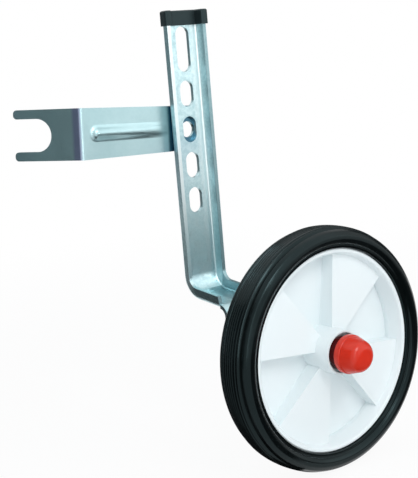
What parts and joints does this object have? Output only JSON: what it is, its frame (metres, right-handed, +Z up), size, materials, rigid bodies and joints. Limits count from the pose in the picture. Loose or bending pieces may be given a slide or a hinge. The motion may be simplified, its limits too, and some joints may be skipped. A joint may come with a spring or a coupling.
{
  "type": "bicycle training wheel",
  "caption": "Training wheel for a child's bicycle: slotted steel leg, forked frame bracket, solid rubber tyre on a plastic disc wheel, capped hub.",
  "frame": {"origin": "on the bicycle axle's line, at the inboard face of the fork bracket", "axes": "+Z up the leg, +Y inboard toward the bicycle along its axle, -X along the bracket's arm toward the fork"},
  "size_m": [0.1768, 0.1892, 0.2754],
  "materials": {
    "zinc_steel": "bright zinc plate",
    "hardware_steel": "bright zinc plate",
    "tyre_rubber": "satin",
    "white_plastic": "semi-gloss",
    "red_plastic": "gloss",
    "black_plastic": "satin",
    "grey_plastic": "satin"
  },
  "bodies": {
    "bracket": {"fork_bracket": "zinc_steel"},
    "leg": {"leg": "zinc_steel", "leg_end_cap": "black_plastic", "axle_bolt": "hardware_steel", "spring_washer": "hardware_steel", "tab_nut": "hardware_steel", "spacer_sleeve": "grey_plastic", "inner_washer": "hardware_steel", "outer_washer": "hardware_steel", "lock_nut": "hardware_steel", "hub_cap": "red_plastic"},
    "wheel": {"wheel_disc": "white_plastic", "tyre": "tyre_rubber"}
  },
  "joints": [
    {"name": "leg_swivel", "type": "hinge", "parent": "bracket", "child": "leg", "pos_m": [0, 0, 0], "axis": [0, 1, 0], "range_deg": [-30, 30]},
    {"name": "wheel_spin", "type": "hinge", "parent": "leg", "child": "wheel", "pos_m": [0, -0.1159, -0.1277], "axis": [0, -1, 0], "continuous": true}
  ]
}
